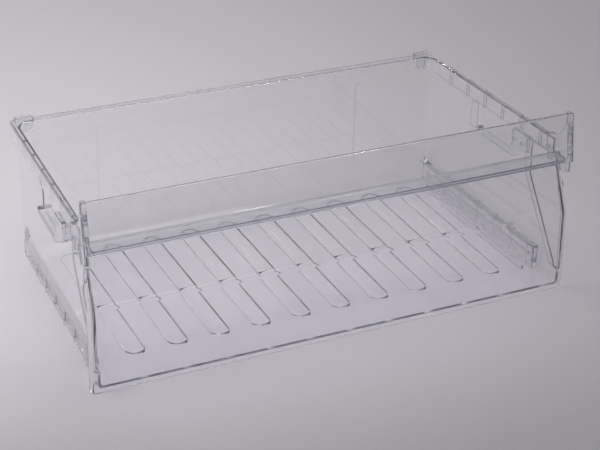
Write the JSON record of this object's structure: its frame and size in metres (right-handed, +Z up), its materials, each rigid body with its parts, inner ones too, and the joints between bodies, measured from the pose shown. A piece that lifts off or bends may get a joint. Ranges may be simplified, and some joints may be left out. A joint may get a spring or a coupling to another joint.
{
  "type": "crisper drawer",
  "caption": "Clear refrigerator crisper drawer: ribbed tub with a bent front panel, full-width handle band over a finger recess, slide runners, hooked side guides and rear stops.",
  "frame": {"origin": "centre of the footprint, on the ground plane under the skids and the front panel's foot", "axes": "+Z up, front towards -Y, +X to the right seen from the front"},
  "size_m": [0.47, 0.256, 0.1766],
  "materials": {
    "clear_tub": "clear moulded polystyrene, polished, faint blue tint at the edges",
    "clear_front": "clear moulded polystyrene, polished, faint blue tint at the edges",
    "clear_slides": "clear moulded polystyrene, polished, lightly rubbed on the running faces"
  },
  "bodies": {
    "tub": {"tub": "clear_tub", "front_panel": "clear_front"},
    "handle": {"handle_band": "clear_front", "left_end_cap": "clear_front", "right_end_cap": "clear_front"},
    "left_runner": {"left_runner": "clear_slides"},
    "right_runner": {"right_runner": "clear_slides"},
    "left_guide": {"left_guide": "clear_slides"},
    "right_guide": {"right_guide": "clear_slides"},
    "left_rear_stop": {"left_rear_stop": "clear_slides"},
    "right_rear_stop": {"right_rear_stop": "clear_slides"}
  },
  "joints": [
    {"name": "handle_lift", "type": "slide", "parent": "tub", "child": "handle", "axis": [0, 0, 1], "range_m": [0, 0.025]},
    {"name": "left_runner_slide", "type": "slide", "parent": "tub", "child": "left_runner", "axis": [0.0371, 0.9993, 0], "range_m": [0, 0.19]},
    {"name": "right_runner_slide", "type": "slide", "parent": "tub", "child": "right_runner", "axis": [-0.0371, 0.9993, 0], "range_m": [0, 0.19]},
    {"name": "left_guide_pull", "type": "slide", "parent": "tub", "child": "left_guide", "axis": [-0.9993, 0.0371, 0], "range_m": [0, 0.012]},
    {"name": "right_guide_pull", "type": "slide", "parent": "tub", "child": "right_guide", "axis": [0.9993, 0.0371, 0], "range_m": [0, 0.012]},
    {"name": "left_stop_lift", "type": "slide", "parent": "tub", "child": "left_rear_stop", "axis": [0, 0, 1], "range_m": [0, 0.016]},
    {"name": "right_stop_lift", "type": "slide", "parent": "tub", "child": "right_rear_stop", "axis": [0, 0, 1], "range_m": [0, 0.016]}
  ]
}
